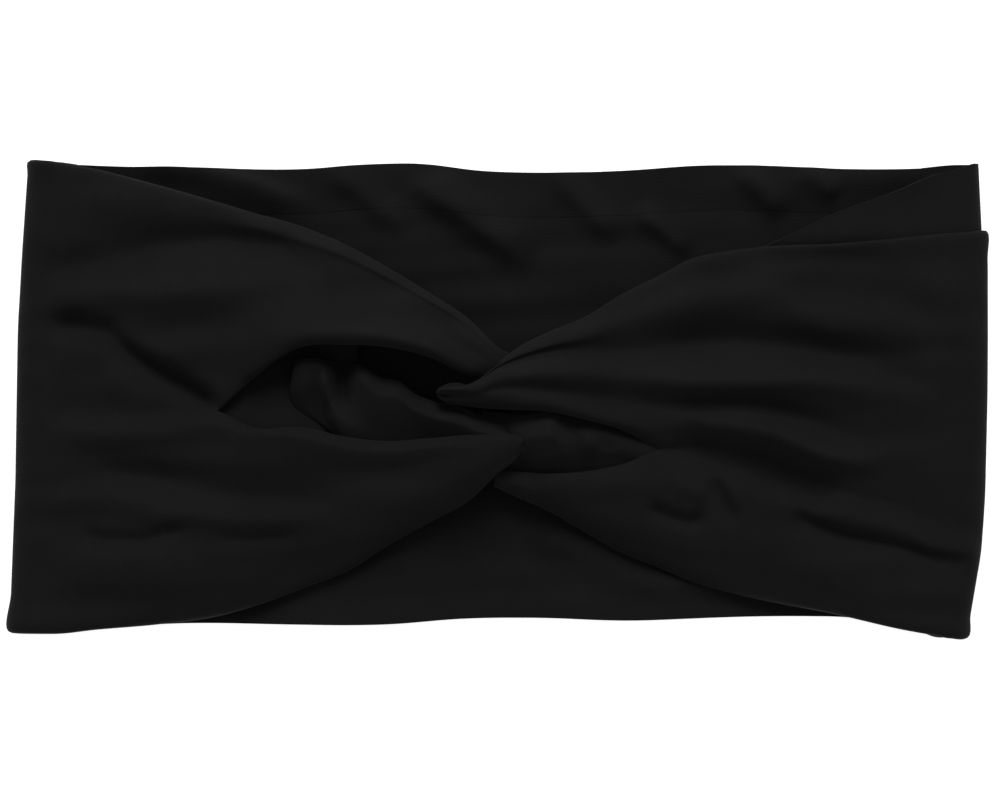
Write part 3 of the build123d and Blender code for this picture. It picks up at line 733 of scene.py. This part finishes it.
def back_sheet(name, top, bottom, level, node, thin_at=None, thickness=PLY):
    """A strip of the back panel between two lines of (x, y), raised along its soft wrinkles.

    Its edge at the share thin_at of its width is pressed down into the ply below.
    """
    xs = np.linspace(-SEAM_X, SEAM_X, BACK_STATIONS)
    upper = np.interp(xs, *zip(*top))
    lower = np.interp(xs, *zip(*bottom))
    shares = np.linspace(0, 1, BACK_COLUMNS)
    if thin_at is None:
        drops = np.zeros_like(shares)
    else:
        drops = np.clip(1 - np.abs(shares - thin_at) / PRESS_REACH, 0, 1) ** PRESS_SHAPE * PRESS_DEPTH
    net = np.array([[[x, high + (low - high) * share, level - drop] for share, drop in zip(shares, drops)]
                    for x, high, low in zip(xs, upper, lower)])
    piece = grid_mesh(name, [(filled(net, CELL), 0.0)], BACK_FOLDS)
    thicken(piece, thickness, -1, 0 if thin_at is None else HEM_LIFT)
    return dress(piece, JERSEY_INSIDE, node)


LINE_POINTS = 160


def line_of(shares):
    """A line of (x, y) from shares of the half sizes, smoothed through its points."""
    at, v = np.array(shares).T
    wanted = np.linspace(at[0], at[-1], LINE_POINTS)
    return [(u * HALF_WIDTH, w * HALF_HEIGHT) for u, w in zip(wanted, smooth(v, at, wanted))]


top_line = line_of(BACK_TOP)
bottom_line = line_of(BACK_BOTTOM)
back = back_sheet("back_cloth", top_line, bottom_line, PLY, "back_panel")
top_hem = back_sheet("back_top_hem_cloth", top_line, [(x, y - HEM_WIDTH) for x, y in top_line],
                     2 * PLY, "back_top_hem", 1)
# the bottom hem is pressed thin between the back panel and the table
bottom_hem = back_sheet("back_bottom_hem_cloth", [(x, y + HEM_WIDTH) for x, y in bottom_line], bottom_line,
                        1.4 * PLY, "back_bottom_hem", 0, 0.38 * PLY)

# ---- bends: the crumpled tongue in the left eye and the tuft in the right one, in millimetres ----
TONGUE = [
    [(-49.5, 9.5, 7.6), (-50.5, 6.2, 7.6), (-51, 2.8, 6.6), (-50.5, -0.6, 5.2), (-48.5, -3.4, 4.4),
     (-45.5, -5.6, 4), (-42, -7.6, 4.4)],
    [(-48.2, 10, 8.4), (-48.9, 6.8, 9), (-49.2, 3.4, 8.2), (-48.6, 0.2, 6.6), (-47, -2.6, 5.4),
     (-44.5, -5, 5), (-41.2, -8, 5.4)],
    [(-45.8, 10.2, 8.6), (-46.3, 7.2, 9.4), (-46.3, 4, 8.8), (-45.8, 0.8, 7), (-44.6, -2, 5.8),
     (-42.8, -4.8, 5.6), (-39.9, -9, 6.8)],
    [(-43.9, 10, 8.2), (-44.3, 7.4, 9), (-44.3, 4.2, 8.4), (-43.9, 1, 7), (-42.9, -1.8, 6.4),
     (-41.6, -4.8, 7), (-38.9, -9.6, 7.8)],
    [(-42.4, 9.5, 6), (-42.6, 7, 10), (-42.4, 4.4, 11), (-42, 1.4, 10.2), (-41.3, -1.4, 9),
     (-40.2, -4.6, 9.2), (-37.8, -10, 8.4)],
    [(-41.2, 9.5, 5.4), (-41.2, 7, 8.2), (-41, 4, 8.6), (-40.6, 1, 8.4), (-39.8, -2.2, 9.4),
     (-38.6, -5, 9.8), (-36.5, -11, 8.4)],
    [(-38.7, 9, 3.8), (-38.6, 6.5, 4.6), (-38.4, 3.6, 5.2), (-38, 0.4, 6.4), (-37.4, -2.6, 8.8),
     (-36.4, -5.6, 9.8), (-34.8, -11.5, 8.2)],
    [(-35.8, 9, 4.6), (-35.8, 6.6, 7), (-35.6, 4.2, 8.6), (-35.2, 1, 9.2), (-34.6, -2.6, 9.8),
     (-33.8, -6, 9.8), (-32.4, -12, 8)],
    [(-33, 8, 6), (-33.2, 5.8, 11.6), (-33, 4, 12.6), (-32.5, 0.6, 12), (-31.8, -3, 11), (-30.8, -6.5, 9.8),
     (-29.6, -12.5, 8)],
    [(-29, 5.5, 6), (-29.2, 3, 11.8), (-29, 1.4, 12.8), (-28.4, -1.2, 12.2), (-27.6, -4.4, 10.8),
     (-26.6, -7.5, 9.4), (-25.5, -13, 7.6)],
    [(-24.3, 4.4, 6), (-24.5, 1.8, 12), (-24.3, 0.4, 12.8), (-23.8, -2, 12), (-23, -5, 10.6),
     (-22.2, -8, 9.2), (-21.5, -13.4, 7.6)],
    [(-21, 1.8, 6), (-21.2, -0.9, 11.8), (-21, -2.2, 12.4), (-20.5, -4, 11.6), (-19.8, -6.2, 10.4),
     (-19, -8.6, 9.2), (-18, -13.4, 7.6)],
    [(-16, -0.4, 6.5), (-16.2, -3.1, 11.8), (-16, -4.3, 12.6), (-15.5, -5.6, 12), (-15, -7.3, 11),
     (-14.3, -9.2, 10), (-13.5, -13.4, 8)],
    [(-10, -1.6, 7), (-10.2, -4.3, 12.4), (-10, -5.6, 13.2), (-9.7, -6.8, 12.8), (-9.3, -8.2, 12),
     (-9, -9.7, 11.2), (-8.5, -13.4, 9)],
    [(-5, -3.8, 8), (-5, -6.6, 13), (-4.8, -7.6, 13.6), (-4.6, -8.6, 13.4), (-4.4, -9.6, 13),
     (-4.2, -10.6, 12.4), (-4, -13.4, 10)],
    [(0, -5.4, 9), (0, -8, 13), (0, -8.8, 13.4), (0, -9.6, 13.2), (0, -10.4, 12.8), (0, -11.2, 12.2),
     (0, -13.4, 10)],
    [(4, -6.2, 8), (4, -8.6, 11), (4, -9.2, 11.4), (4, -9.8, 11.2), (4, -10.4, 11), (4, -11.2, 10.6),
     (4, -13, 9)],
]
TUFT = [
    [(-4, -3, 8), (-4, -5.5, 9.2), (-4, -8, 9.8), (-4, -10.5, 10), (-4, -13, 9.6), (-4, -16, 8.4),
     (-4, -19.5, 7.4)],
    [(1, -3.2, 8.6), (1, -5.5, 9.8), (1, -8, 10.4), (1, -10.5, 10.4), (1, -13, 10), (1, -16, 8.6),
     (1, -20.5, 7.4)],
    [(4.8, -3.8, 10.4), (4.8, -5.8, 12.2), (4.6, -7.6, 13.8), (5, -9.6, 14.8), (5.8, -12, 13.2),
     (6.4, -15.4, 9.4), (6.8, -20.8, 7.2)],
    [(7.4, -3.6, 10.8), (7.4, -5.6, 13.2), (7.4, -7.6, 15.4), (7.6, -9.6, 16.2), (8, -12, 14),
     (8.2, -15.6, 9.8), (8.4, -21, 7.2)],
    [(10, -2.8, 10.6), (10, -4.8, 13.2), (10, -7, 16), (10.2, -9.2, 17), (10.4, -12.2, 14), (10.6, -16, 9.8),
     (10.8, -21, 7.2)],
    [(12.4, -2, 10.4), (12.4, -4, 13), (12.5, -6.6, 16.2), (12.8, -9, 17), (13, -12.2, 13.9),
     (13.2, -16.2, 9.8), (13.4, -21, 7.2)],
    [(14.4, -2.2, 9.8), (14.6, -4.4, 11.4), (14.9, -7.2, 13.4), (15.2, -9.8, 14.4), (15.4, -12.8, 12.8),
     (15.6, -16, 9.7), (15.8, -21, 7.2)],
    [(18, -3, 9.4), (18, -5.6, 10.6), (18, -8, 11.8), (18, -10.4, 12.4), (18, -13, 11.6), (18, -16, 9.5),
     (18, -20.8, 7.3)],
    [(21.5, -4, 9.6), (21.5, -6.8, 11.6), (21.5, -9, 13.6), (21.5, -11, 13.8), (21.5, -13.4, 11.6),
     (21.5, -15.6, 9.6), (21.5, -20.2, 7.5)],
    [(25, -5.4, 9.4), (25, -7.8, 11.6), (25, -9.6, 11.8), (25, -11.4, 11.4), (25, -13, 10.8),
     (25, -15.2, 9.3), (25, -19.4, 7.8)],
    [(30, -7.4, 9.2), (30, -9.4, 10.8), (30, -10.8, 11), (30, -12, 10.8), (30, -13.2, 10.2),
     (30, -14.8, 9.1), (30, -18, 8)],
    [(35, -9.6, 9), (35, -10.8, 9.9), (35, -11.7, 10), (35, -12.6, 10), (35, -13.5, 9.8), (35, -14.6, 9.4),
     (35, -16.4, 8.6)],
    [(39.5, -11.6, 8.6), (39.5, -12, 9), (39.5, -12.3, 9.1), (39.5, -12.7, 9.1), (39.5, -13.1, 9),
     (39.5, -13.5, 8.9), (39.5, -14.4, 8.5)],
]


def lay_bend(name, rows, node):
    """The gathered bend of one strip, as far as it shows between the rolls of the other."""
    net = np.array(rows) * MM
    piece = grid_mesh(name, [(filled(net, 0.6 * CELL), 0.0)])
    thicken(piece, PLY, -1)
    return dress(piece, JERSEY, node)


tongue = lay_bend("right_bend_cloth", TONGUE, "right_loop_bend")
tuft = lay_bend("left_bend_cloth", TUFT, "left_loop_bend")


# ---- closing seams and their overlock threads ----
SEAM_WIDTH = 6 * MM                # the seam allowances that lie inside the band
SEAM_HALF_LENGTH = 0.86 * HALF_HEIGHT
SEAM_RIPPLE = 0.12 * MM            # the height of the allowances' soft waves
SEAM_WAVE = 0.9                    # radians of those waves per stitch
SEAM_PINCH = 0.25 * MM             # how far the overlock presses the upper one down along both its edges
STITCH_PITCH = 2.6 * MM
STITCH_START = 0.6 * MM            # from the allowances' edge to where each stitch starts
STITCH_MIDDLE = 3.0 * MM           # and to its middle
STITCH_END = 0.8 * MM              # from where it ends to the seam
THREAD_RADIUS = 0.175 * MM


def lay_seam(side, direction):
    """Both allowances of a closing seam, pressed to one side and bound together by its overlock."""
    xs = np.linspace(SEAM_X - SEAM_WIDTH, SEAM_X, 5)
    ys = np.linspace(SEAM_HALF_LENGTH, -SEAM_HALF_LENGTH, 45)
    ripple = SEAM_RIPPLE * np.sin(ys / STITCH_PITCH * SEAM_WAVE)
    for name, height, pinch in (("lower", 2 * PLY, 0), ("upper", 3 * PLY, SEAM_PINCH)):
        edges = np.array([pinch, 0, 0, 0, pinch])
        net = np.array([[[x, y, height - low + bump] for y, bump in zip(ys, ripple)]
                        for x, low in zip(xs, edges)])
        net[..., 0] *= direction
        piece = grid_mesh(f"{side}_seam_{name}_cloth", [(net, 0.0)])
        thicken(piece, PLY * 0.9, -direction)
        dress(piece, JERSEY_INSIDE, f"{side}_closing_seam")


def sew_overlock(side, direction):
    """The overlock: slanted stitches over the allowances, drawn as one zigzag thread that runs back across
    between them.
    """
    count = int(2 * SEAM_HALF_LENGTH / STITCH_PITCH) - 2
    top = 3 * PLY + THREAD_RADIUS * 0.6
    path = []
    for index in range(count):
        y = SEAM_HALF_LENGTH - (index + 1) * STITCH_PITCH
        path += [(SEAM_X - SEAM_WIDTH + STITCH_START, y, top),
                 (SEAM_X - SEAM_WIDTH + STITCH_MIDDLE, y - 0.3 * STITCH_PITCH, top),
                 (SEAM_X - STITCH_END, y - 0.6 * STITCH_PITCH, top)]
    name = f"{side}_overlock_thread"
    data = bpy.data.curves.new(name, "CURVE")
    data.dimensions = "3D"
    data.bevel_depth = THREAD_RADIUS
    data.bevel_resolution = 2
    line = data.splines.new("POLY")
    line.points.add(len(path) - 1)
    for point, (x, y, z) in zip(line.points, path):
        point.co = (direction * x, y, z, 1)
    curve = add_object(name, data)
    mesh = bpy.data.meshes.new_from_object(curve.evaluated_get(bpy.context.evaluated_depsgraph_get()))
    bpy.data.objects.remove(curve)
    dress(add_object(name, mesh), THREAD, f"{side}_seam_thread")


for side, direction in (("left", -1), ("right", 1)):
    lay_seam(side, direction)
    sew_overlock(side, direction)


# ---- stage ----
def bleached_backdrop(name):
    """White seamless paper, matt: seen white by the camera, but still shaded where the band stands on it."""
    material, tree = new_material(name)
    paper = add_node(tree, "ShaderNodeBsdfDiffuse", {"Color": linear("#f4f4f4")})
    path = add_node(tree, "ShaderNodeLightPath")
    seen = add_node(tree, "ShaderNodeMath", {"operation": "MAXIMUM"},
                    {0: path.outputs["Is Camera Ray"], 1: path.outputs["Is Glossy Ray"]})
    strength = add_node(tree, "ShaderNodeMath", {"operation": "MULTIPLY", 1: 0.80}, {0: seen.outputs[0]})
    glow = add_node(tree, "ShaderNodeEmission", links={"Strength": strength.outputs[0]})
    both = add_node(tree, "ShaderNodeAddShader", links={0: paper.outputs[0], 1: glow.outputs[0]})
    add_node(tree, "ShaderNodeOutputMaterial", links={"Surface": both.outputs[0]})
    return material


def lay_floor(size):
    """A plain sheet of paper under the band."""
    mesh = bpy.data.meshes.new("floor")
    corners = [(-size, -size, 0), (size, -size, 0), (size, size, 0), (-size, size, 0)]
    mesh.from_pydata(corners, [], [(0, 1, 2, 3)])
    floor = add_object("floor", mesh)
    floor.data.materials.append(bleached_backdrop("white_seamless_paper"))
    floor.location.z = -0.05 * MM  # just under the cloth, so that their faces don't share a plane


def hang_softbox(name, location, target, size, power):
    """A square softbox that faces its target."""
    light = bpy.data.lights.new(name, "AREA")
    light.shape = "SQUARE"
    light.size = size
    light.energy = power
    lamp = add_object(name, light)
    lamp.location = location
    aim = Vector(target) - Vector(location)
    lamp.rotation_euler = aim.to_track_quat("-Z", "Y").to_euler()


lay_floor(1.5)
hang_softbox("softbox_top", (0.0, 0.70, 0.62), (0, 0, 0), 0.40, 4.85)
hang_softbox("softbox_left", (-0.95, -0.1, 0.42), (0, 0, 0), 0.60, 0.7)
hang_softbox("softbox_right", (0.95, -0.1, 0.42), (0, 0, 0), 0.60, 0.7)

world = bpy.data.worlds.new("studio")
world.use_nodes = True
world.node_tree.nodes["Background"].inputs["Color"].default_value = (1, 1, 1, 1)
world.node_tree.nodes["Background"].inputs["Strength"].default_value = 0.32
bpy.context.scene.world = world
bpy.context.scene.view_settings.view_transform = "Standard"

# ---- camera: straight above the band, far off with a long lens ----
FRAME_WIDTH = 245.4 * MM           # the width that the camera takes in, halfway up the wings
lens = bpy.data.cameras.new("camera")
lens.sensor_width = 36.0
lens.lens = 110.0
camera = add_object("camera", lens)
camera.location = (0.25 * MM, -0.12 * MM, WING_TOP / 2 + FRAME_WIDTH * lens.lens / lens.sensor_width)
camera.rotation_euler = (0, 0, 0)
bpy.context.scene.camera = camera
